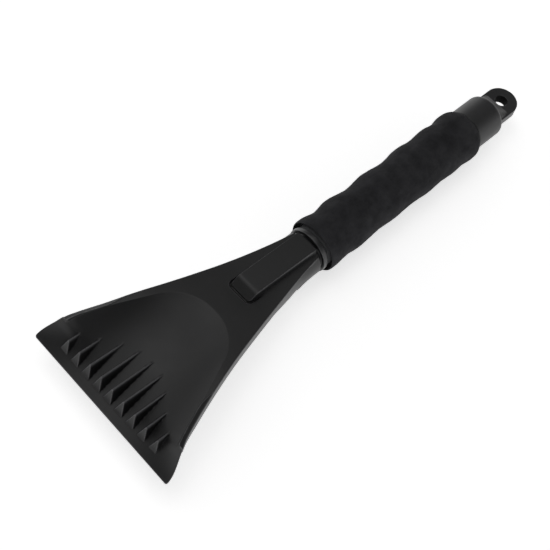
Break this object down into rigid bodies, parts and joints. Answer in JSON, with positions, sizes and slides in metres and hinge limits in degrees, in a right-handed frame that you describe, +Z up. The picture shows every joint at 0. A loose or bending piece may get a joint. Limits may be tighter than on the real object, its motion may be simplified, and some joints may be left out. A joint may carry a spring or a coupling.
{
  "type": "windshield ice scraper",
  "caption": "Hand ice scraper: a wide dished blade with ice-breaking teeth on a ribbed foam grip, with a hanging tab at the end of the handle.",
  "frame": {"origin": "middle of the footprint, on the level that the underside of the grip rests on", "axes": "+X along the handle from the blade's edge to the hanging tab, +Z up with the teeth on top"},
  "size_m": [0.3176, 0.1, 0.0324],
  "materials": {
    "head_plastic": "black moulded plastic, fine satin texture",
    "trim_plastic": "black moulded plastic, semi-gloss",
    "core_plastic": "black extruded plastic tube",
    "foam_rubber": "black closed-cell foam, matt with fine pores"
  },
  "bodies": {
    "root": {"scraper_head": "head_plastic", "collar_ring": "trim_plastic", "handle_tube": "core_plastic", "foam_grip": "foam_rubber", "end_cap": "trim_plastic"}
  },
  "joints": []
}
